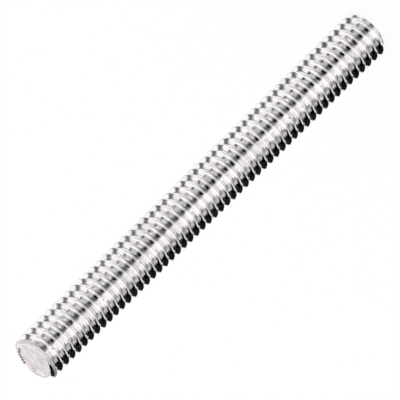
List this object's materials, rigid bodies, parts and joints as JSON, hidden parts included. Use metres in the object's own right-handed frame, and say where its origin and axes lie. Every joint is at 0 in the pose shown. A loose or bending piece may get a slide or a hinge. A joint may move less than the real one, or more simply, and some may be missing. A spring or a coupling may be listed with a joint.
{
  "type": "threaded rod",
  "caption": "Straight steel rod with a right-hand screw thread over its whole length, bright plated, with a chamfered flat face at each end.",
  "frame": {"origin": "centre of the lower end face, on the rod's axis", "axes": "+Z along the rod, from the lower end face to the upper one; the groove runs out of the lower face on the -X side"},
  "size_m": [0.0078, 0.0078, 0.0762],
  "materials": {
    "plated_steel": "bright zinc plating, rolled thread, matt cut ends"
  },
  "bodies": {
    "root": {"threaded_rod": "plated_steel"}
  },
  "joints": []
}
